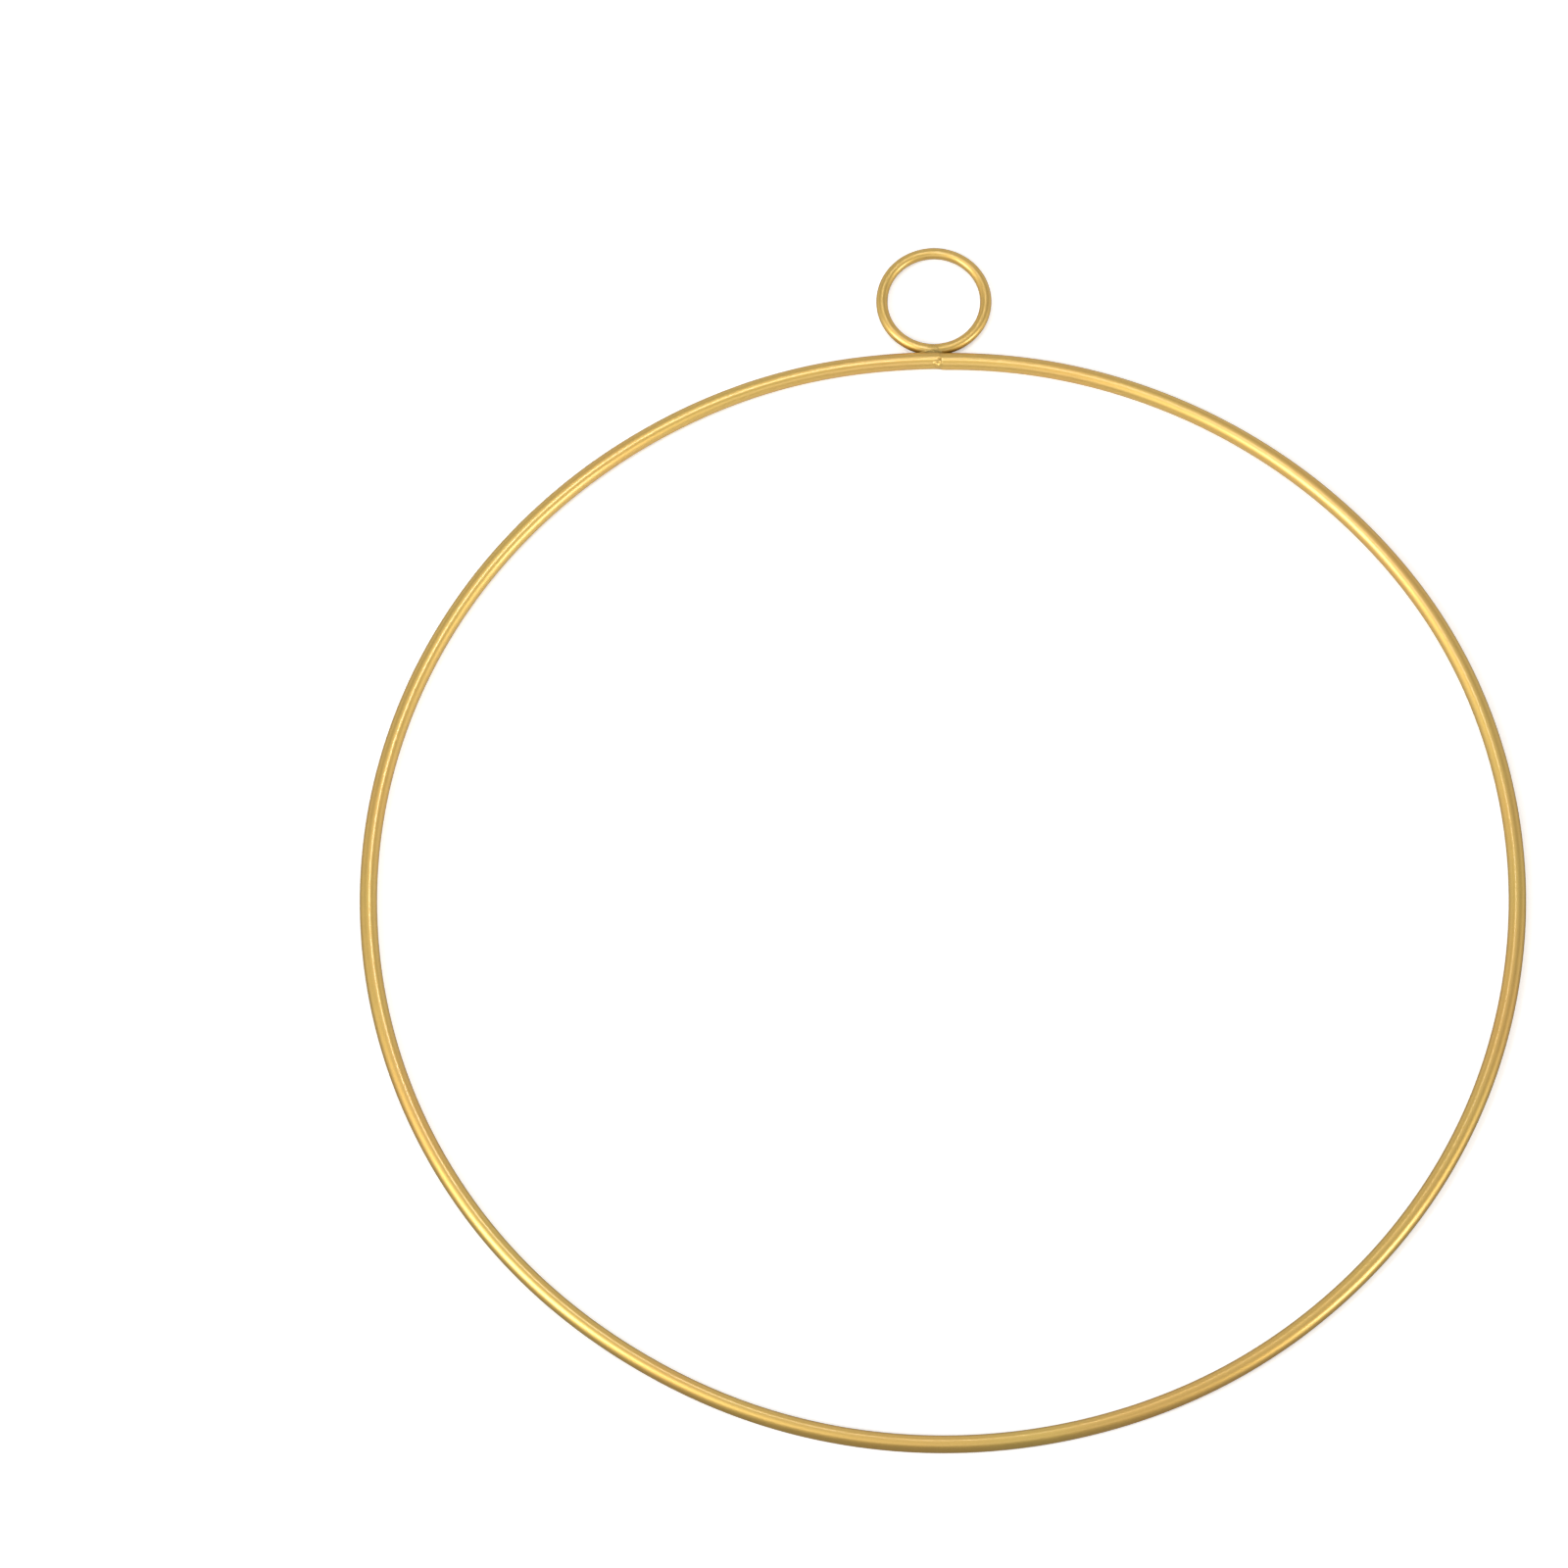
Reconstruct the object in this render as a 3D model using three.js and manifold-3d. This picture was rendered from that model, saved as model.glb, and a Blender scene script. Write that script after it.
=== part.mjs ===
// A wire wreath frame: one round hoop of steel wire with a small hanging ring welded on its crown.
// Millimetres, +Z up. The frame lies flat, face up, with its hanging ring towards +Y.
// The origin is under the middle of the frame's outline, on the surface that the hoop lies on.

import * as THREE from "three";
import { mergeVertices } from "three/addons/utils/BufferGeometryUtils.js";
import Module from "manifold-3d";

// ---- driving dimensions, mm ----
const HOOP_OUTER_DIAMETER = 200;
const HOOP_WIRE = 3;
const RING_OUTER_DIAMETER = 20;
const RING_WIRE = 2;
const SET_DOWN = 0.25; // how far the weld lets the ring sink into the hoop's wire
const SEAM_OFFSET = 1; // the hoop's own seam, to the right of the ring's foot
const HOOP_SEAM_LENGTH = 0.8; // weld metal between the hoop's two wire ends
const RING_SEAM_LENGTH = 0.5;
const SEAM_BARREL = 0.96; // a seam weld's diameter at its two ends, as a share of the wire's
const CLEARANCE = 0.1; // left open between a weld and the wire that it joins

// the bead that bridges ring and hoop, on the face and again on the back
const BEAD_LENGTH = 2.6; // along the hoop's wire
const BEAD_WIDTH = 2.4; // across the two wires
const BEAD_DEPTH = 1.7; // through the frame's thickness
const BEAD_COVER = 0.1; // how far the bead stays below the face of the hoop's wire

// ---- fineness of the facets ----
const HOOP_SECTION_SIDES = 16; // a multiple of 4, so that one side faces straight down
const HOOP_STEPS = 144;
const RING_SECTION_SIDES = 12;
const RING_STEPS = 48;
const BEAD_COLUMNS = 20;
const BEAD_ROWS = 12;
const SEAM_SIDES = 20;
const MERGE_WITHIN = 1e-4; // corners closer than this are one corner, mm

// ---- worked out from the driving dimensions ----
const HOOP_RADIUS = (HOOP_OUTER_DIAMETER - HOOP_WIRE) / 2; // to the middle of the wire
const RING_RADIUS = (RING_OUTER_DIAMETER - RING_WIRE) / 2;
const WIRES_APART = (HOOP_WIRE + RING_WIRE) / 2 - SET_DOWN; // middle to middle, where they meet
const RING_CENTRE = HOOP_RADIUS + WIRES_APART + RING_RADIUS; // from the middle of the hoop
const OVERALL_LENGTH = HOOP_OUTER_DIAMETER / 2 + RING_CENTRE + RING_OUTER_DIAMETER / 2;
const HOOP_CENTRE_Y = (HOOP_OUTER_DIAMETER - OVERALL_LENGTH) / 2;
const BEAD_Y = (HOOP_OUTER_DIAMETER - SET_DOWN) / 2; // over the line where the wires meet

const UP = Math.PI / 2; // the direction of +Y, where the ring is
const DOWN = -Math.PI / 2; // the direction of the ring's foot, seen from the ring's middle

const wasm = await Module();
wasm.setup();

// A circle, or most of one, in the XY plane round the origin.
class Arc extends THREE.Curve {
  constructor(radius, start, sweep) {
    super();
    this.radius = radius;
    this.start = start;
    this.sweep = sweep;
  }

  getPoint(t, target = new THREE.Vector3()) {
    const angle = this.start + t * this.sweep;
    return target.set(this.radius * Math.cos(angle), this.radius * Math.sin(angle), 0);
  }
}

// A polygon that touches the round section from outside, with flat sides facing +-X and +-Y.
function sectionShape(diameter, sides) {
  const corner = diameter / 2 / Math.cos(Math.PI / sides);
  const points = [];
  for (let i = 0; i < sides; i += 1) {
    const angle = ((i + 0.5) / sides) * 2 * Math.PI;
    points.push(new THREE.Vector2(corner * Math.cos(angle), corner * Math.sin(angle)));
  }
  return new THREE.Shape(points);
}

// One length of wire bent to a circle of the given radius, open for the seam at the seam's angle.
function bentWire(radius, diameter, seamAngle, seamLength, sides, steps) {
  const open = (seamLength + 2 * CLEARANCE) / radius;
  const path = new Arc(radius, seamAngle + open / 2, 2 * Math.PI - open);
  path.arcLengthDivisions = steps * 4;
  return new THREE.ExtrudeGeometry(sectionShape(diameter, sides), { steps, extrudePath: path });
}

// A whole ring of round wire round the Z axis, used to cut away what would run into that wire.
function wholeRing(radius, diameter, sides, steps) {
  const profile = sectionShape(diameter, sides).getPoints();
  const closed = [...profile, profile[0]].map((p) => new THREE.Vector2(radius + p.x, p.y));
  return new THREE.LatheGeometry(closed, steps).rotateX(Math.PI / 2);
}

// The slug of weld metal between two butted wire ends: a slightly barrelled disc across the wire.
function seamSlug(diameter, length) {
  const edge = (diameter / 2) * SEAM_BARREL;
  const profile = [
    new THREE.Vector2(0, -length / 2),
    new THREE.Vector2(edge, -length / 2),
    new THREE.Vector2(diameter / 2, 0),
    new THREE.Vector2(edge, length / 2),
    new THREE.Vector2(0, length / 2),
  ];
  return new THREE.LatheGeometry(profile, SEAM_SIDES).rotateZ(Math.PI / 2);
}

// Turns a closed geometry into a solid, after merging the vertices that its faces share.
function solid(geometry) {
  const bare = geometry.clone();
  bare.deleteAttribute("normal");
  bare.deleteAttribute("uv");
  const merged = mergeVertices(bare, MERGE_WITHIN);
  const mesh = new wasm.Mesh({
    numProp: 3,
    vertProperties: new Float32Array(merged.attributes.position.array),
    triVerts: new Uint32Array(merged.index.array),
  });
  return new wasm.Manifold(mesh);
}

function geometryOf(manifold) {
  const mesh = manifold.getMesh();
  const geometry = new THREE.BufferGeometry();
  geometry.setAttribute("position", new THREE.BufferAttribute(mesh.vertProperties, 3));
  geometry.setIndex(new THREE.BufferAttribute(mesh.triVerts, 1));
  geometry.computeVertexNormals();
  return geometry;
}

const paint = { color: 0xdcae50, metalness: 0.85, roughness: 0.38 };
const weldPaint = { color: 0xcfa149, metalness: 0.8, roughness: 0.5 };

function part(name, geometry, finish) {
  const mesh = new THREE.Mesh(geometry, new THREE.MeshStandardMaterial(finish));
  mesh.name = name;
  return mesh;
}

// Everything below is placed in the hoop's own plane, with the middle of the hoop at the origin.
const frame = new THREE.Group();
frame.position.set(0, HOOP_CENTRE_Y, HOOP_WIRE / 2);

// ---- the space that each wire needs, with clearance ----
const hoopSpace = solid(
  wholeRing(HOOP_RADIUS, HOOP_WIRE + 2 * CLEARANCE, HOOP_SECTION_SIDES, HOOP_STEPS),
);
const ringSpace = solid(
  wholeRing(RING_RADIUS, RING_WIRE + 2 * CLEARANCE, RING_SECTION_SIDES, RING_STEPS)
    .translate(0, RING_CENTRE, 0),
);

// ---- the hoop: one wire, its ends butted near the crown and welded ----
const seamAngle = UP - SEAM_OFFSET / HOOP_RADIUS;
frame.add(
  part(
    "hoop_wire",
    bentWire(
      HOOP_RADIUS, HOOP_WIRE, seamAngle, HOOP_SEAM_LENGTH, HOOP_SECTION_SIDES, HOOP_STEPS,
    ),
    paint,
  ),
);

const hoopSeam = part("hoop_seam_weld", seamSlug(HOOP_WIRE, HOOP_SEAM_LENGTH), weldPaint);
hoopSeam.position.set(HOOP_RADIUS * Math.cos(seamAngle), HOOP_RADIUS * Math.sin(seamAngle), 0);
hoopSeam.rotation.z = seamAngle - UP;
frame.add(hoopSeam);

// ---- the hanging ring: one thinner wire, its ends butted at its foot, sunk into the hoop ----
const ringWire = solid(
  bentWire(
    RING_RADIUS, RING_WIRE, DOWN, RING_SEAM_LENGTH, RING_SECTION_SIDES, RING_STEPS,
  ).translate(0, RING_CENTRE, 0),
);
frame.add(part("hanging_ring_wire", geometryOf(ringWire.subtract(hoopSpace)), paint));

const ringSeam = solid(
  seamSlug(RING_WIRE, RING_SEAM_LENGTH).translate(0, RING_CENTRE - RING_RADIUS, 0),
);
frame.add(part("hanging_ring_seam_weld", geometryOf(ringSeam.subtract(hoopSpace)), weldPaint));

// ---- the two beads in the grooves between ring and hoop ----
for (const [name, side] of [["ring_weld_front", 1], ["ring_weld_back", -1]]) {
  const bead = new THREE.SphereGeometry(0.5, BEAD_COLUMNS, BEAD_ROWS);
  bead.scale(BEAD_LENGTH, BEAD_WIDTH, BEAD_DEPTH);
  bead.translate(0, BEAD_Y, side * (HOOP_WIRE / 2 - BEAD_COVER - BEAD_DEPTH / 2));
  const inGroove = solid(bead).subtract(hoopSpace).subtract(ringSpace);
  frame.add(part(name, geometryOf(inGroove), weldPaint));
}

export default frame;
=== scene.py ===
import math
from collections import namedtuple

import bpy
import numpy as np
from mathutils import Matrix, Vector, noise


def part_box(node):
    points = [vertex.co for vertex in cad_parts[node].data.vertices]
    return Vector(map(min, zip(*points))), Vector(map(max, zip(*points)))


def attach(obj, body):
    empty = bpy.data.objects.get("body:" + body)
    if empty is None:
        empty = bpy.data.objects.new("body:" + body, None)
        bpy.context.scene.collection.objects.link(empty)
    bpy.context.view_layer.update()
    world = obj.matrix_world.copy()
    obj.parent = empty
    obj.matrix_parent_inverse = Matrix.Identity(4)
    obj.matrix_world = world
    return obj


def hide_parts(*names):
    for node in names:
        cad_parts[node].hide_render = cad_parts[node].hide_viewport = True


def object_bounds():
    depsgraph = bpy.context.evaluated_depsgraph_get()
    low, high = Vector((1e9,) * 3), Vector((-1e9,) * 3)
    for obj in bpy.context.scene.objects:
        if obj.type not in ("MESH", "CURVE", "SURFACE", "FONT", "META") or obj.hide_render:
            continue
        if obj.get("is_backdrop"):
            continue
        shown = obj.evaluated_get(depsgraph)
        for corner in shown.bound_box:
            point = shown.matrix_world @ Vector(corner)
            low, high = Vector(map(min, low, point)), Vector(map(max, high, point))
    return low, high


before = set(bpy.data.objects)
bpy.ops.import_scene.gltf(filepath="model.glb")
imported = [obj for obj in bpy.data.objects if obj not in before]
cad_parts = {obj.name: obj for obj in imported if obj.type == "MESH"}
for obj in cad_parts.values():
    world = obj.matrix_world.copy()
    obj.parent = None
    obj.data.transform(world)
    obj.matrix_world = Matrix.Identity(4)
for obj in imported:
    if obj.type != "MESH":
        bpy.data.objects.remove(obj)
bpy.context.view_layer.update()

# A gold-painted wire hoop with a small hanging ring welded on its crown, lying on a pale floor.
# Everything is in metres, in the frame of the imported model: +Z up, the hanging ring towards +Y.

MM = 0.001

# ---- sizes and places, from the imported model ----
hoop_low, hoop_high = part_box("hoop_wire")
ring_low, ring_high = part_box("hanging_ring_wire")
seam_low, seam_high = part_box("hoop_seam_weld")

HOOP_WIRE_RADIUS = (hoop_high.z - hoop_low.z) / 2
HOOP_RADIUS = (hoop_high.x - hoop_low.x) / 2 - HOOP_WIRE_RADIUS
HOOP_MIDDLE = (hoop_low + hoop_high) / 2
RING_WIRE_RADIUS = (ring_high.z - ring_low.z) / 2
RING_RADIUS = (ring_high.x - ring_low.x) / 2 - RING_WIRE_RADIUS
RING_ASIDE = 0.15 * MM  # the ring was welded on this far to the right of the middle
RING_LOWER = 0.17 * MM  # and this much nearer to the hoop's middle, with the bend in the hoop there
RING_MIDDLE = Vector(
    (RING_ASIDE, ring_high.y - RING_RADIUS - RING_WIRE_RADIUS - RING_LOWER, HOOP_MIDDLE.z)
)
FOOT = Vector((0, RING_MIDDLE.y - RING_RADIUS - RING_WIRE_RADIUS, HOOP_MIDDLE.z))
SEAM_X = (seam_low.x + seam_high.x) / 2

# ---- how the two wires run out of true ----
# Where the hoop was bent by hand to close it, it isn't quite round:
# (direction from the hoop's middle in degrees, half width in degrees, how far outwards).
HAND_BENDS = (
    (28, 13, 0.22 * MM),
    (-12, 16, -0.10 * MM),
    (-62, 12, 0.13 * MM),
    (-123, 12, -0.20 * MM),
    (108, 12, 0.16 * MM),
    (91, 9, -0.20 * MM),
)
KINK_STEP = 0.10 * MM  # the left end stands this much outwards at the seam, the right end inwards
KINK_WIDTH = 0.35  # degrees over which the one changes to the other
KINK_REACH = 7.0  # degrees over which the two wire ends come back into line
RING_OVERSIZE = 0.1 * MM  # the ring was wound a little over its nominal size

# ---- the cut ends of the wires ----
# Places along a wire are measured from the middle of its seam, anticlockwise round its circle.
# Places round its section are in degrees, 0 facing away from the circle's middle, 90 up.
HOOP_SEAM = 90 - math.degrees(SEAM_X / HOOP_RADIUS)
RING_SEAM = -90.0
WIRE_SIDES = 40
HOOP_STEPS = 1700
RING_STEPS = 360
END_LIP = 0.14 * MM  # rounding of a cut wire end
END_STEPS = (0, 0.02, 0.08, 0.2, 0.4, 0.7, 1.0, 1.6, 2.6, 4, 6, 9, 13, 18)  # rows of points, in lips
END_SLANT = 1.2 * MM  # how far along the wire a slanted end is felt
HOOP_BACK_GAPS = (0.16 * MM, -0.08 * MM)  # before and after the seam's middle, at the back
HOOP_FACE_GAPS = (0.24 * MM, 0.96 * MM)  # how much more at the face
HOOP_GAP_TURN, HOOP_GAP_REACH = 140, 38  # the middle and half width of that, in degrees round
RING_GAP = 0.05 * MM

# ---- the weld metal between the cut ends ----
SEAM_DEPTH = 0.06 * MM  # how far it lies under the wire's surface, away from its lumps
CRACK_DEPTH = 0.17 * MM  # how much deeper it lies on the hoop's face
CRACK_TURN, CRACK_REACH = 98, 20  # the middle and half width of that crack, in degrees round
SLEEVE_ROWS, SLEEVE_SIDES = 90, 120
HOOP_SLEEVE_HALF, RING_SLEEVE_HALF = 1.5 * MM, 1.7 * MM
SLEEVE_FADE = 0.25 * MM  # its two ends sink into the wire over this length
SLEEVE_SINK = 0.3 * MM  # and by this much
GRAIN = 0.03 * MM  # height of the roughness on its lumps
COARSE_GRAIN, FINE_GRAIN = 0.34 * MM, 0.16 * MM  # how wide the roughness is
GRAIN_FROM = 0.12 * MM  # a lump this high is rough all over

# Lumps and hollows of weld metal: (along, degrees round, reach along, reach round, height), mm.
HOOP_SEAM_LUMPS = (
    (0.36, 132, 0.66, 0.84, 0.34),
    (0.36, 130, 0.30, 0.32, -0.32),
    (0.50, 112, 0.40, 0.26, 0.10),
    (-0.30, 113, 0.30, 0.26, 0.12),
    (-0.10, 235, 0.40, 0.55, 0.14),
)
RING_SEAM_LUMPS = (
    (-0.25, 80, 1.10, 0.95, 0.10),
    (-0.85, 88, 0.30, 0.30, 0.05),
    (-0.45, 72, 0.30, 0.26, 0.05),
    (-0.10, 92, 0.26, 0.34, 0.05),
    (0.35, 80, 0.28, 0.34, 0.05),
    (-0.30, 112, 0.40, 0.28, 0.05),
    (-0.15, 270, 0.70, 0.70, 0.12),
)

# ---- the weld metal in the grooves between ring and hoop ----
FILLET_MIDDLE = -0.2 * MM  # left of the frame's middle line
FILLET_FILL = 1.0 * MM  # the reach of the fillet between the two wires, at its middle
FILLET_LEAST = 0.02 * MM  # the same, far from its middle
FILLET_REACH = 1.7 * MM  # how far along the wires the one falls to the other
FILLET_HALF_LENGTH = 3.0 * MM
FILLET_RADIUS = 1.9 * MM  # as far from the line through the foot as the metal goes
SUNK = 0.05 * MM  # how far the metal's thin edge lies under the wires' surfaces
LAP = 0.05 * MM  # how far each bead runs past the frame's middle plane, into the other
FILLET_GRAIN, FILLET_GRAIN_WIDTH = 0.06 * MM, 0.4 * MM
FILLET_CELL = 0.06 * MM


# ---- the two wires ----
def hoop_bend(angle):
    """How far outwards of the true circle the hoop's wire runs, at angles in degrees."""
    total = np.zeros_like(angle)
    for middle, half_width, amount in HAND_BENDS:
        away = (angle - middle + 180) % 360 - 180
        total += amount * np.exp(-((away / half_width) ** 2))
    away = (angle - HOOP_SEAM + 180) % 360 - 180
    total += KINK_STEP * np.tanh(away / KINK_WIDTH) * np.exp(-np.abs(away) / KINK_REACH)
    return total


def ring_bend(angle):
    """The same for the hanging ring."""
    return np.full_like(angle, RING_OVERSIZE)


# A wire bent to a circle: the circle's middle, its radius to the middle of the wire, the wire's
# own radius, the direction of the seam in degrees, and how far the wire runs out of the circle.
Wire = namedtuple("Wire", "middle radius wire_radius seam bend")
HOOP = Wire(HOOP_MIDDLE, HOOP_RADIUS, HOOP_WIRE_RADIUS, HOOP_SEAM, hoop_bend)
RING = Wire(RING_MIDDLE, RING_RADIUS, RING_WIRE_RADIUS, RING_SEAM, ring_bend)


def hoop_gaps(turn):
    """How far before and after the seam's middle the hoop's ends stop, at degrees round. They lie
    closest at the back and slant apart over the face."""
    lean = np.exp(-(((turn - HOOP_GAP_TURN) / HOOP_GAP_REACH) ** 2))
    return [back + face * lean for back, face in zip(HOOP_BACK_GAPS, HOOP_FACE_GAPS)]


def ring_gaps(turn):
    """The same for the ring, whose ends are cut square."""
    return np.full_like(turn, RING_GAP), np.full_like(turn, RING_GAP)


# ---- shapes ----
def new_piece(name, vertices, faces, replaced, slot, material):
    """A smooth-shaded mesh with the given material, that stands for one CAD node and hides it; slot
    is not used.
    """
    mesh = bpy.data.meshes.new(name)
    mesh.from_pydata([tuple(v) for v in vertices], [], faces)
    mesh.validate()
    mesh.update()
    mesh.shade_smooth()
    mesh.materials.append(material)
    piece = bpy.data.objects.new(name, mesh)
    bpy.context.scene.collection.objects.link(piece)
    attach(piece, "root")
    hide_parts(replaced)


def tube(wire, angles, around, reach):
    """Points of a bent tube: a grid of angles along it by angles around it, reach from its axis."""
    middle = wire.middle
    out = wire.radius + wire.bend(angles) + reach * np.cos(around)
    run = np.radians(angles)
    rise = np.broadcast_to(middle.z + reach * np.sin(around), out.shape)
    return np.stack([middle.x + out * np.cos(run), middle.y + out * np.sin(run), rise], axis=-1)


def closed_tube(points):
    """The vertices and faces of a tube given as a grid of points, closed by a fan at each end."""
    steps, sides = points.shape[:2]
    faces = []
    for i in range(steps - 1):
        for k in range(sides):
            m = (k + 1) % sides
            a, b = i * sides, (i + 1) * sides
            faces.append((a + k, b + k, b + m, a + m))
    start, end = steps * sides, (steps - 1) * sides
    for k in range(sides):
        m = (k + 1) % sides
        faces.append((start, k, m))
        faces.append((start + 1, end + m, end + k))
    caps = [points[0].mean(0), points[-1].mean(0)]
    return np.concatenate([points.reshape(-1, 3), caps]), faces


def bent_wire(wire, gaps, steps):
    """A wire bent to a circle, with rounded ends that stop short of the seam's middle by gaps."""
    around = np.linspace(0, 2 * np.pi, WIRE_SIDES, endpoint=False)[None, :]
    before, after = gaps(np.degrees(around))
    near = END_LIP * np.array(END_STEPS)
    total = 2 * np.pi * wire.radius
    middle_run = np.linspace(near[-1], total - near[-1], steps)[1:-1]
    place = np.concatenate([near, middle_run, total - near[::-1]])[:, None]
    from_last = total - place
    at = place + after * np.exp(-place / END_SLANT) - before * np.exp(-from_last / END_SLANT)
    short = np.maximum(END_LIP - np.minimum(place, from_last), 0)
    reach = wire.wire_radius - END_LIP + np.sqrt(END_LIP**2 - short**2)
    return closed_tube(tube(wire, wire.seam + np.degrees(at / wire.radius), around, reach))


def roughness_at(p, size, seed):
    """Smooth random lumps between -1 and 1, about size across."""
    shift = Vector((seed * 17.3, seed * -9.1, seed * 5.7))
    return np.array([noise.noise(Vector(q) / size + shift) for q in p])


def seam_sleeve(wire, lumps, crack_depth, half_length, seed):
    """Weld metal that fills the gap between two wire ends and stands out of it in lumps. It runs
    on inside both ends, out of sight."""
    along = np.linspace(-half_length, half_length, SLEEVE_ROWS)[:, None]
    around = np.linspace(0, 2 * np.pi, SLEEVE_SIDES, endpoint=False)[None, :]
    degrees = np.degrees(around)
    crack = np.exp(-(((degrees - CRACK_TURN) / CRACK_REACH) ** 2))
    bottom = -SEAM_DEPTH - crack_depth * crack
    height = bottom + 0 * along
    for place, turn, reach_along, reach_round, amount in lumps:
        across = np.radians((degrees - turn + 180) % 360 - 180) * wire.wire_radius / MM
        far = ((along / MM - place) / reach_along) ** 2 + (across / reach_round) ** 2
        height += amount * MM * np.exp(-far)
    angles = wire.seam + np.degrees(along / wire.radius)
    surface = tube(wire, angles, around, wire.wire_radius).reshape(-1, 3)
    coarse = roughness_at(surface, COARSE_GRAIN, seed)
    grain = coarse + 0.5 * roughness_at(surface, FINE_GRAIN, seed + 1)
    rough = np.clip((height - bottom) / GRAIN_FROM, 0, 1)
    height += GRAIN * grain.reshape(height.shape) * rough
    fade = np.clip((half_length - np.abs(along)) / SLEEVE_FADE, 0, 1)
    height = height * fade - SLEEVE_SINK * (1 - fade)
    return closed_tube(tube(wire, angles, around, wire.wire_radius + height))


def skin_of(field, low, high, cell):
    """The closed surface where field is 0, negative inside, as vertices and quads (surface nets)."""
    counts = [int(math.ceil((h - l) / cell)) + 1 for l, h in zip(low, high)]
    axes = [l + cell * np.arange(n) for l, n in zip(low, counts)]
    grid = np.stack(np.meshgrid(*axes, indexing="ij"), axis=-1)
    value = field(grid.reshape(-1, 3)).reshape(counts)
    border = np.ones(counts, bool)
    border[1:-1, 1:-1, 1:-1] = False
    value[border] = np.maximum(value[border], cell / 2)

    # each cell that the surface passes gets one vertex, the mean of where it cuts the cell's edges
    total = np.zeros((*counts, 3))
    count = np.zeros(counts)
    crossings = []
    for axis in range(3):
        first = [slice(None)] * 3
        second = [slice(None)] * 3
        first[axis] = slice(0, -1)
        second[axis] = slice(1, None)
        a, b = value[tuple(first)], value[tuple(second)]
        where = np.argwhere((a < 0) != (b < 0))
        at = tuple(where.T)
        share = a[at] / (a[at] - b[at])
        points = grid[at].copy()
        points[:, axis] += share * cell
        u, v = [i for i in range(3) if i != axis]
        around = []
        for du, dv in ((0, 0), (-1, 0), (-1, -1), (0, -1)):
            cells = where.copy()
            cells[:, u] += du
            cells[:, v] += dv
            around.append(cells)
            np.add.at(total, tuple(cells.T), points)
            np.add.at(count, tuple(cells.T), 1)
        crossings.append((axis, a[at] < 0, around))

    used = count > 0
    index = np.full(counts, -1)
    index[used] = np.arange(used.sum())
    vertices = total[used] / count[used][:, None]
    faces = []
    for axis, outward, around in crossings:
        quads = np.stack([index[tuple(cells.T)] for cells in around], axis=1)
        flip = outward if axis != 1 else ~outward
        quads[~flip] = quads[~flip][:, ::-1]
        faces += quads.tolist()
    return settled(vertices, field, cell), faces


def settled(vertices, field, cell):
    """The vertices, moved on to the surface where field is 0, by three short steps."""
    step = cell * 0.05
    for _ in range(3):
        here = field(vertices)
        slope = np.stack(
            [
                (field(vertices + step * unit) - field(vertices - step * unit)) / (2 * step)
                for unit in np.eye(3)
            ],
            axis=1,
        )
        steepness = np.maximum((slope**2).sum(1), 0.25)  # squared; at least 0.25, for short steps
        move = -(here / steepness)[:, None] * slope
        vertices = vertices + np.clip(move, -cell / 2, cell / 2)
    return vertices


def wire_field(wire, p):
    """Signed distance from points to the surface of a bent wire."""
    x, y = p[:, 0] - wire.middle.x, p[:, 1] - wire.middle.y
    out = np.hypot(x, y) - wire.radius - wire.bend(np.degrees(np.arctan2(y, x)))
    return np.hypot(out, p[:, 2] - wire.middle.z) - wire.wire_radius


def smooth_min(a, b, reach):
    """The lesser of two fields, with a fillet where they are within reach of each other."""
    h = np.maximum(reach - np.abs(a - b), 0) / reach
    return np.minimum(a, b) - h * h * reach / 4


def fillet_field(side):
    """Weld metal in the groove between ring and hoop, on one side of the frame's middle plane."""

    def field(p):
        along = p[:, 0] - FOOT.x - FILLET_MIDDLE
        fill = FILLET_FILL * np.exp(-((along / FILLET_REACH) ** 2)) + FILLET_LEAST
        metal = smooth_min(wire_field(HOOP, p) + SUNK, wire_field(RING, p) + SUNK, fill)
        metal += FILLET_GRAIN * roughness_at(p, FILLET_GRAIN_WIDTH, 5 + side)
        ends = np.abs(along) - FILLET_HALF_LENGTH
        past_middle = -side * (p[:, 2] - FOOT.z) - LAP
        off = p - np.array(FOOT)
        far = np.hypot(off[:, 1], off[:, 2]) - FILLET_RADIUS
        return np.maximum(np.maximum(metal, ends), np.maximum(past_middle, far))

    return field


# ---- nodes, for materials and the room ----
def add_node(tree, kind, **settings):
    """A new shader node, with some of its settings."""
    node = tree.nodes.new("ShaderNode" + kind)
    for name, value in settings.items():
        setattr(node, name, value)
    return node


def feed(tree, sockets, values):
    """Give each socket its value: another node's output, or a plain value."""
    for socket, value in zip(sockets, values):
        if isinstance(value, bpy.types.NodeSocket):
            tree.links.new(value, socket)
        else:
            socket.default_value = value


def math_of(tree, operation, *values):
    """The result of one sum."""
    node = add_node(tree, "Math", operation=operation)
    feed(tree, node.inputs, values)
    return node.outputs[0]


def ramp(tree, value, low, high, at_low, at_high, kind="SMOOTHSTEP"):
    """A value that changes from at_low to at_high where the given one goes from low to high."""
    node = add_node(tree, "MapRange", interpolation_type=kind)
    feed(tree, node.inputs, (value, low, high, at_low, at_high))
    return node.outputs["Result"]


def mixed(tree, factor, first, second):
    """The first colour where factor is 0, the second where it is 1."""
    node = add_node(tree, "Mix", data_type="RGBA")
    sockets = (node.inputs["Factor"], node.inputs[6], node.inputs[7])
    feed(tree, sockets, (factor, first, second))
    return node.outputs[2]


def axes_of(tree, vector):
    """The X, Y and Z of a vector."""
    node = add_node(tree, "SeparateXYZ")
    feed(tree, node.inputs, (vector,))
    return node.outputs


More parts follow.
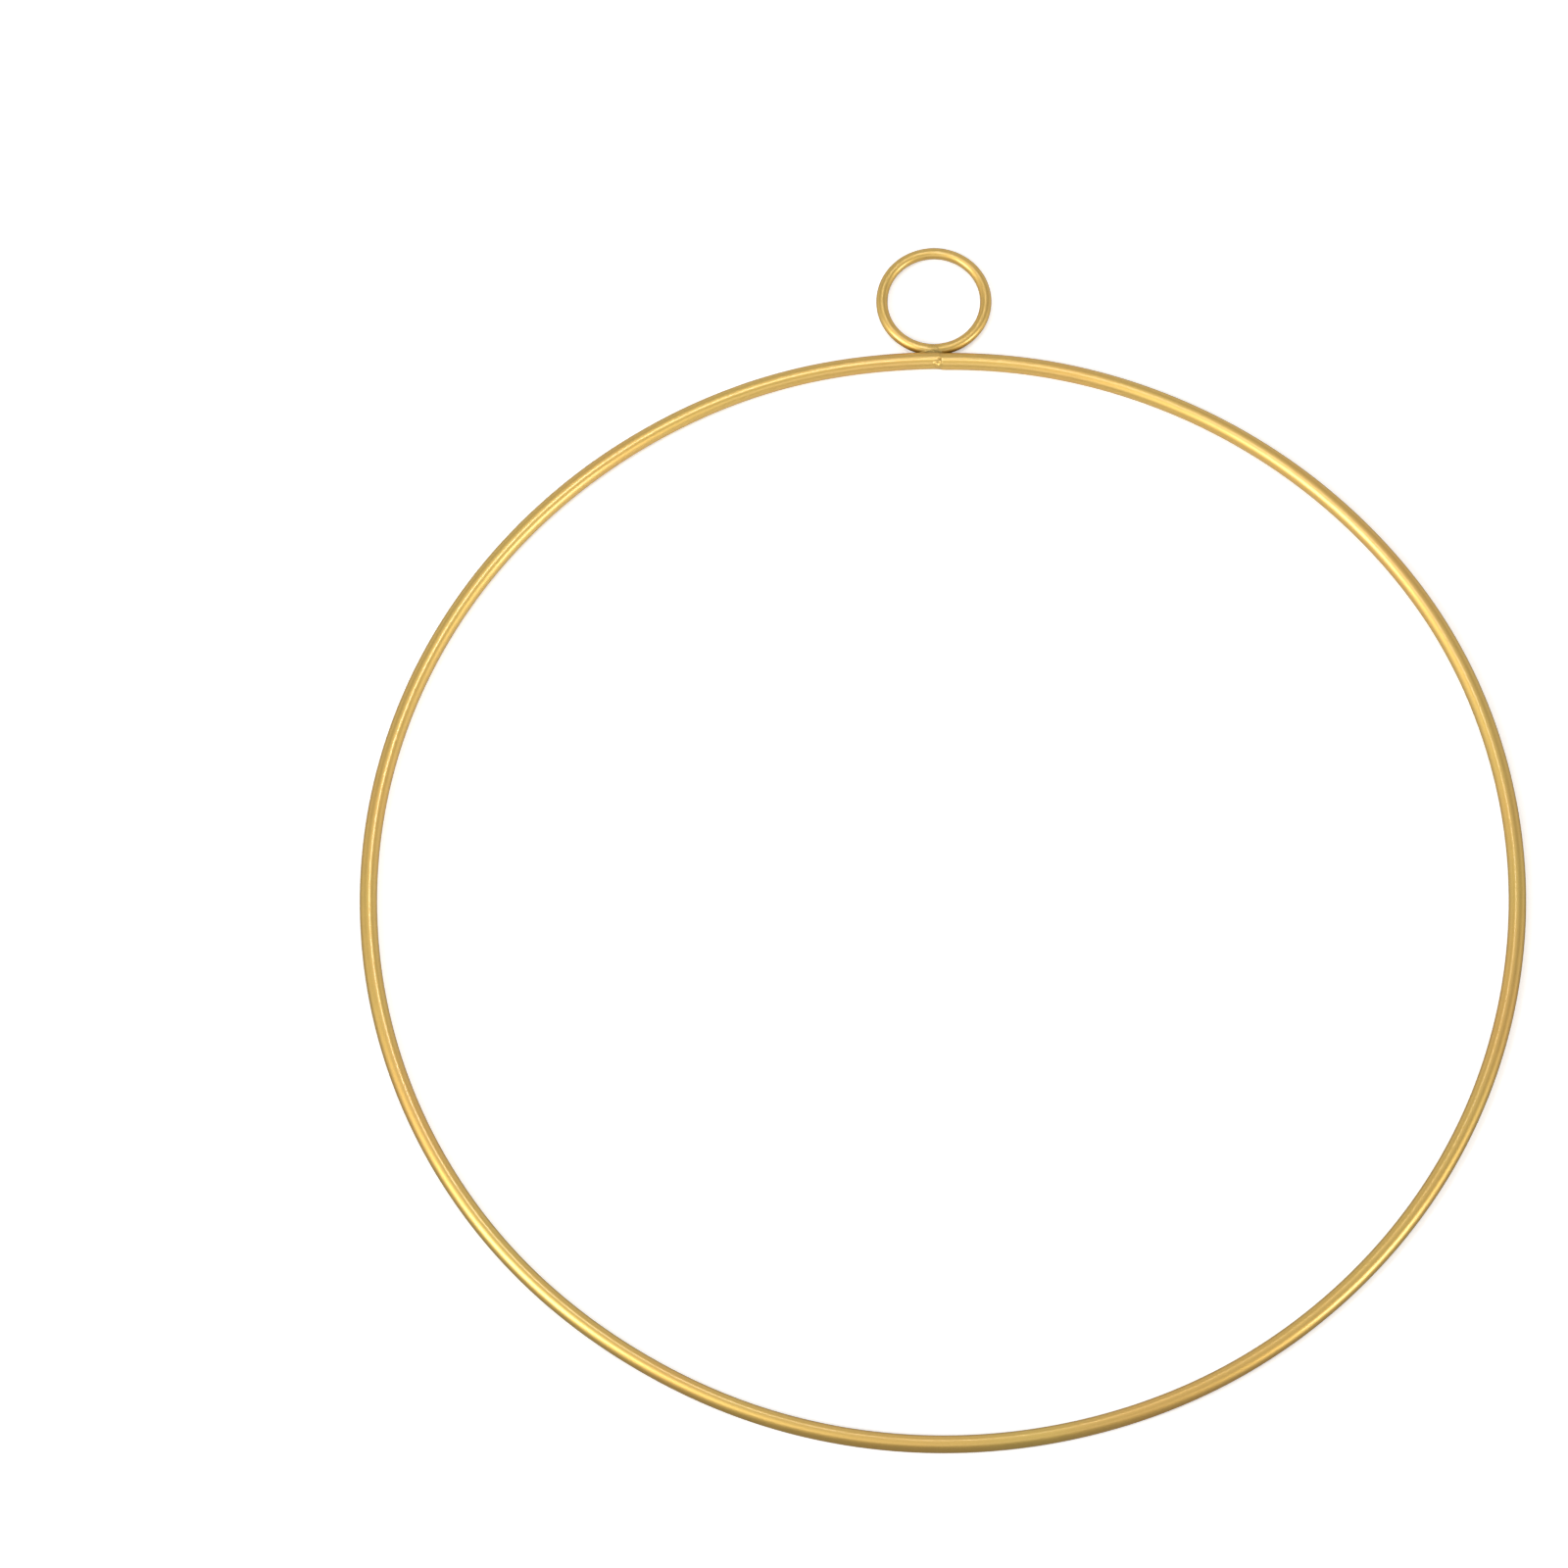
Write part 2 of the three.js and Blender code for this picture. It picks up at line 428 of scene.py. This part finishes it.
def noise_of(tree, place, scale, detail):
    """Soft random values over the surface."""
    node = add_node(tree, "TexNoise")
    node.inputs["Scale"].default_value = scale
    node.inputs["Detail"].default_value = detail
    tree.links.new(place, node.inputs["Vector"])
    return node.outputs["Fac"]


# ---- materials ----
GOLD = (0.84, 0.55, 0.15)
WELD_GOLD = tuple(0.92 * c for c in GOLD)
EDGE_TINT = (0.45, 0.38, 0.3, 1)  # what the metal reflects at grazing angles
CREVICE_SHADE = (0.30, 0.235, 0.07, 1)  # painted shade where the two wires meet: a dark, dull gold
CREVICE_NEAR, CREVICE_FAR = 0.1 * MM, 1.1 * MM  # a point's distances from both wires, added up
DRIFT_SCALE, FLAKE_SCALE, SHEEN_SCALE, BUMP_SCALE = 35, 6500, 300, 2500
NOISE_LOW, NOISE_HIGH = 0.3, 0.7  # random values beyond these count as the nearer of the two
FLAKE_SHARE = 0.14  # how much of the brightest colour the brightest flakes have
SHEEN_SPREAD = 0.025  # roughness more or less


def stretched(tree, value, low, high):
    """A random value, stretched to run from low to high."""
    return ramp(tree, value, NOISE_LOW, NOISE_HIGH, low, high, "LINEAR")


def flaked(tree, place, base):
    """The paint's own colour: a slow drift of hue, speckled with brighter flakes."""
    red, green, blue = base
    drift = mixed(
        tree,
        stretched(tree, noise_of(tree, place, DRIFT_SCALE, 2), 0, 1),
        (red * 1.02, green * 0.96, blue * 0.95, 1),
        (red * 0.98, green * 1.04, blue * 1.0, 1),
    )
    flake = add_node(tree, "TexVoronoi")
    flake.inputs["Scale"].default_value = FLAKE_SCALE
    tree.links.new(place, flake.inputs["Vector"])
    random_colour = add_node(tree, "SeparateColor")
    tree.links.new(flake.outputs["Color"], random_colour.inputs["Color"])
    brightest = (min(1, red * 1.25), min(1, green * 1.25), blue * 1.5, 1)
    share = stretched(tree, random_colour.outputs["Red"], 0.0, FLAKE_SHARE)
    return mixed(tree, share, drift, brightest)


def length_of(tree, first, second):
    """The long side of a right-angled triangle with these two short sides."""
    squares = [math_of(tree, "POWER", side, 2.0) for side in (first, second)]
    return math_of(tree, "SQRT", math_of(tree, "ADD", *squares))


def from_wire(tree, place, middle, radius, wire_radius):
    """How far a point is from the surface of a circle of round wire."""
    shift = add_node(tree, "VectorMath", operation="SUBTRACT")
    feed(tree, shift.inputs, (place, middle))
    axis = axes_of(tree, shift.outputs[0])
    out = math_of(tree, "SUBTRACT", length_of(tree, axis["X"], axis["Y"]), radius)
    away = math_of(tree, "SUBTRACT", length_of(tree, out, axis["Z"]), wire_radius)
    return math_of(tree, "ABSOLUTE", away)


def gold_paint(name, base, roughness, gloss, lumpiness, darkest):
    """Gold paint: metal flake in every direction under a clear gloss, over drawn wire. Where the two
    wires meet, painted shade darkens its colour, by the share darkest."""
    material = bpy.data.materials.new(name)
    material.use_nodes = True
    tree = material.node_tree
    shader = tree.nodes["Principled BSDF"]
    shader.inputs["Metallic"].default_value = 1.0
    shader.inputs["Specular Tint"].default_value = EDGE_TINT
    shader.inputs["Coat Weight"].default_value = 0.8
    shader.inputs["Coat Roughness"].default_value = gloss
    shader.inputs["Coat IOR"].default_value = 1.5

    place = add_node(tree, "TexCoord").outputs["Object"]
    between = math_of(
        tree,
        "ADD",
        from_wire(tree, place, HOOP_MIDDLE, HOOP_RADIUS, HOOP_WIRE_RADIUS),
        from_wire(tree, place, RING_MIDDLE, RING_RADIUS + RING_OVERSIZE, RING_WIRE_RADIUS),
    )
    # painted shade: the colour darkens where a point lies close to both wires, by the share darkest
    painted_shade = ramp(tree, between, CREVICE_NEAR, CREVICE_FAR, darkest, 0.0)
    painted = mixed(tree, painted_shade, flaked(tree, place, base), CREVICE_SHADE)
    tree.links.new(painted, shader.inputs["Base Color"])
    sheen = noise_of(tree, place, SHEEN_SCALE, 3)
    sheen = stretched(tree, sheen, roughness - SHEEN_SPREAD, roughness + SHEEN_SPREAD)
    tree.links.new(sheen, shader.inputs["Roughness"])

    bump = add_node(tree, "Bump")
    bump.inputs["Strength"].default_value = 0.5
    bump.inputs["Distance"].default_value = lumpiness
    tree.links.new(noise_of(tree, place, BUMP_SCALE, 2), bump.inputs["Height"])
    tree.links.new(bump.outputs["Normal"], shader.inputs["Normal"])
    return material


paint = gold_paint(
    "gold_paint", GOLD, roughness=0.47, gloss=0.145, lumpiness=0.003 * MM, darkest=0.45
)
weld_paint = gold_paint(
    "gold_paint_on_weld", WELD_GOLD, roughness=0.45, gloss=0.2, lumpiness=0.02 * MM, darkest=0.55
)

# ---- the pieces ----
new_piece(
    "hoop_wire_painted", *bent_wire(HOOP, hoop_gaps, HOOP_STEPS),
    "hoop_wire", "gold_paint", paint,
)
new_piece(
    "hanging_ring_wire_painted", *bent_wire(RING, ring_gaps, RING_STEPS),
    "hanging_ring_wire", "gold_paint", paint,
)
new_piece(
    "hoop_seam_bead", *seam_sleeve(HOOP, HOOP_SEAM_LUMPS, CRACK_DEPTH, HOOP_SLEEVE_HALF, 3),
    "hoop_seam_weld", "gold_paint_on_weld", weld_paint,
)
new_piece(
    "hanging_ring_seam_bead", *seam_sleeve(RING, RING_SEAM_LUMPS, 0, RING_SLEEVE_HALF, 8),
    "hanging_ring_seam_weld", "gold_paint_on_weld", weld_paint,
)
for name, node, side in (
    ("ring_bead_front", "ring_weld_front", 1),
    ("ring_bead_back", "ring_weld_back", -1),
):
    # the space that is searched for the bead's surface, in mm from the foot
    bottom, top = sorted((-0.3 * side, 1.4 * side))
    low = FOOT + Vector((-3.5, -2.1, bottom)) * MM
    high = FOOT + Vector((3.1, 2.1, top)) * MM
    new_piece(
        name, *skin_of(fillet_field(side), low, high, FILLET_CELL),
        node, "gold_paint_on_weld", weld_paint,
    )

# ---- floor ----
FLOOR_HALF = 6.0
FLOOR_WHITE = (0.93, 0.93, 0.93, 1)
FLOOR_GLOW = 0.42  # light of its own towards the camera, so that it looks white there
# As the paint reflects it, the floor has painted shade outside the hoop and painted light at the
# back:
# (from, to, brightness at from, brightness at to), the places in metres. The two are multiplied.
FLOOR_BY_DISTANCE = (0.09, 0.11, 0.66, 0.48)
FLOOR_BY_Y = (-0.13, 0.12, 0.62, 1.32)


def floor_paint():
    """A matt white floor for the camera, and a shaded one for what reflects it."""
    material = bpy.data.materials.new("pale_floor")
    material.use_nodes = True
    tree = material.node_tree
    shader = tree.nodes["Principled BSDF"]
    seen = add_node(tree, "LightPath").outputs["Is Camera Ray"]
    place = add_node(tree, "TexCoord").outputs["Object"]
    from_middle = add_node(tree, "VectorMath", operation="DISTANCE")
    feed(tree, from_middle.inputs, (place, HOOP_MIDDLE))
    by_distance = ramp(tree, from_middle.outputs["Value"], *FLOOR_BY_DISTANCE)
    by_y = ramp(tree, axes_of(tree, place)["Y"], *FLOOR_BY_Y)
    # painted shade outside the hoop and painted light towards the back, seen only in reflections
    reflected = math_of(tree, "MULTIPLY", by_distance, by_y)
    tree.links.new(mixed(tree, seen, reflected, FLOOR_WHITE), shader.inputs["Base Color"])
    glow = math_of(tree, "MULTIPLY", seen, FLOOR_GLOW)
    tree.links.new(glow, shader.inputs["Emission Strength"])
    shader.inputs["Emission Color"].default_value = (1, 1, 1, 1)
    shader.inputs["Roughness"].default_value = 0.9
    shader.inputs["Specular IOR Level"].default_value = 0.1
    return material


floor_mesh = bpy.data.meshes.new("floor")
floor_corners = [
    (-FLOOR_HALF, -FLOOR_HALF, 0),
    (FLOOR_HALF, -FLOOR_HALF, 0),
    (FLOOR_HALF, FLOOR_HALF, 0),
    (-FLOOR_HALF, FLOOR_HALF, 0),
]
floor_mesh.from_pydata(floor_corners, [], [(0, 1, 2, 3)])
floor_mesh.materials.append(floor_paint())
floor = bpy.data.objects.new("floor", floor_mesh)
bpy.context.scene.collection.objects.link(floor)
floor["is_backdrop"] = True


# ---- lights ----
def direction(azimuth, elevation):
    """A unit vector: azimuth anticlockwise from +X, elevation above the floor, in degrees."""
    a, e = math.radians(azimuth), math.radians(elevation)
    return Vector((math.cos(a) * math.cos(e), math.sin(a) * math.cos(e), math.sin(e)))


def softbox(name, place, facing, width, height, power, spread):
    """A rectangular soft light; a spread under 180 degrees dims it towards its sides."""
    light = bpy.data.lights.new(name, "AREA")
    light.shape = "RECTANGLE"
    light.size = width
    light.size_y = height
    light.energy = power
    light.spread = math.radians(spread)
    lamp = bpy.data.objects.new(name, light)
    lamp.location = place
    lamp.rotation_mode = "QUATERNION"
    lamp.rotation_quaternion = (facing - place).to_track_quat("-Z", "Y")
    lamp.visible_camera = False
    bpy.context.scene.collection.objects.link(lamp)


SOFTBOX_DISTANCE = 1.3
softbox(
    "left_softbox",
    place=HOOP_MIDDLE + SOFTBOX_DISTANCE * direction(207, 41),
    facing=HOOP_MIDDLE + Vector((-0.07, -0.07, 0)),
    width=0.45, height=1.0, power=1.2, spread=58,
)
softbox(
    "right_softbox",
    place=HOOP_MIDDLE + SOFTBOX_DISTANCE * direction(-29, 27),
    facing=HOOP_MIDDLE + Vector((0.09, -0.05, 0)),
    width=0.4, height=0.6, power=0.72, spread=70,
)
softbox(
    "top_light",
    place=HOOP_MIDDLE + Vector((-0.02, 0.10, 0.30)),
    facing=HOOP_MIDDLE + Vector((-0.06, 0.05, 0)),
    width=0.05, height=0.05, power=0.029, spread=90,
)
softbox(
    "ring_light",
    place=RING_MIDDLE + Vector((0, 0.11, 0.30)),
    facing=RING_MIDDLE,
    width=0.03, height=0.03, power=0.0017, spread=50,
)
softbox(
    "front_card",
    place=HOOP_MIDDLE + Vector((0, -0.15, 0.17)),
    facing=HOOP_MIDDLE + Vector((0, HOOP_RADIUS, 0)),
    width=0.24, height=0.14, power=0.035, spread=90,
)

# ---- the room: pale walls, darker in front, a dim ceiling and a lit patch behind the zenith ----
WALL, CEILING = 0.88, 0.2
WALL_TOP, CEILING_EDGE = 0.05, 0.75  # heights of a way up: the walls dim from the one to the other
FRONT_SHARE = 0.35  # straight in front, the walls are this much as bright as elsewhere
FRONT_EDGE, FRONT_END = -0.9, -0.3  # Y of a way: the front is darkest to the one, ends at the other
PATCH, PATCH_EDGE = 0.5, 0.75  # brightness in its middle; where it ends, along PATCH_WAY
PATCH_WAY = (0, 0.34, 0.94)

world = bpy.data.worlds.new("studio")
bpy.context.scene.world = world
world.use_nodes = True
room = world.node_tree
way = add_node(room, "TexCoord").outputs["Generated"]
way_axes = axes_of(room, way)
towards_patch = add_node(room, "VectorMath", operation="DOT_PRODUCT")
feed(room, towards_patch.inputs, (way, PATCH_WAY))
walls = ramp(room, way_axes["Z"], WALL_TOP, CEILING_EDGE, WALL, CEILING)
front = ramp(room, way_axes["Y"], FRONT_EDGE, FRONT_END, FRONT_SHARE, 1)
patch = ramp(room, towards_patch.outputs["Value"], PATCH_EDGE, 1, 0, PATCH)
brightness = math_of(room, "ADD", math_of(room, "MULTIPLY", walls, front), patch)
room.links.new(brightness, room.nodes["Background"].inputs["Strength"])
room.nodes["Background"].inputs["Color"].default_value = (1, 1, 1, 1)

# ---- camera, at the photograph's angle ----
CAMERA_DISTANCE = 1.7
CAMERA_AZIMUTH = 1.575  # degrees anticlockwise of straight in front of the frame
CAMERA_ELEVATION = 69.972
CAMERA_ROLL = -2.285
CAMERA_LENS = 226.7
AIM = HOOP_MIDDLE + Vector((-27.0 * MM, 20.0 * MM, 0))

camera_data = bpy.data.cameras.new("camera")
camera_data.lens = CAMERA_LENS
camera_data.sensor_width = 36
camera_data.clip_start = 0.05
camera_data.clip_end = 50
camera = bpy.data.objects.new("camera", camera_data)
bpy.context.scene.collection.objects.link(camera)
back = direction(CAMERA_AZIMUTH - 90, CAMERA_ELEVATION)
camera.location = AIM + CAMERA_DISTANCE * back
camera.rotation_mode = "QUATERNION"
roll = Matrix.Rotation(math.radians(CAMERA_ROLL), 3, "Z").to_quaternion()
camera.rotation_quaternion = (-back).to_track_quat("-Z", "Y") @ roll
bpy.context.scene.camera = camera

bpy.context.scene.view_settings.view_transform = "Standard"

# ---- the visual model's box ----
low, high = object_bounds()
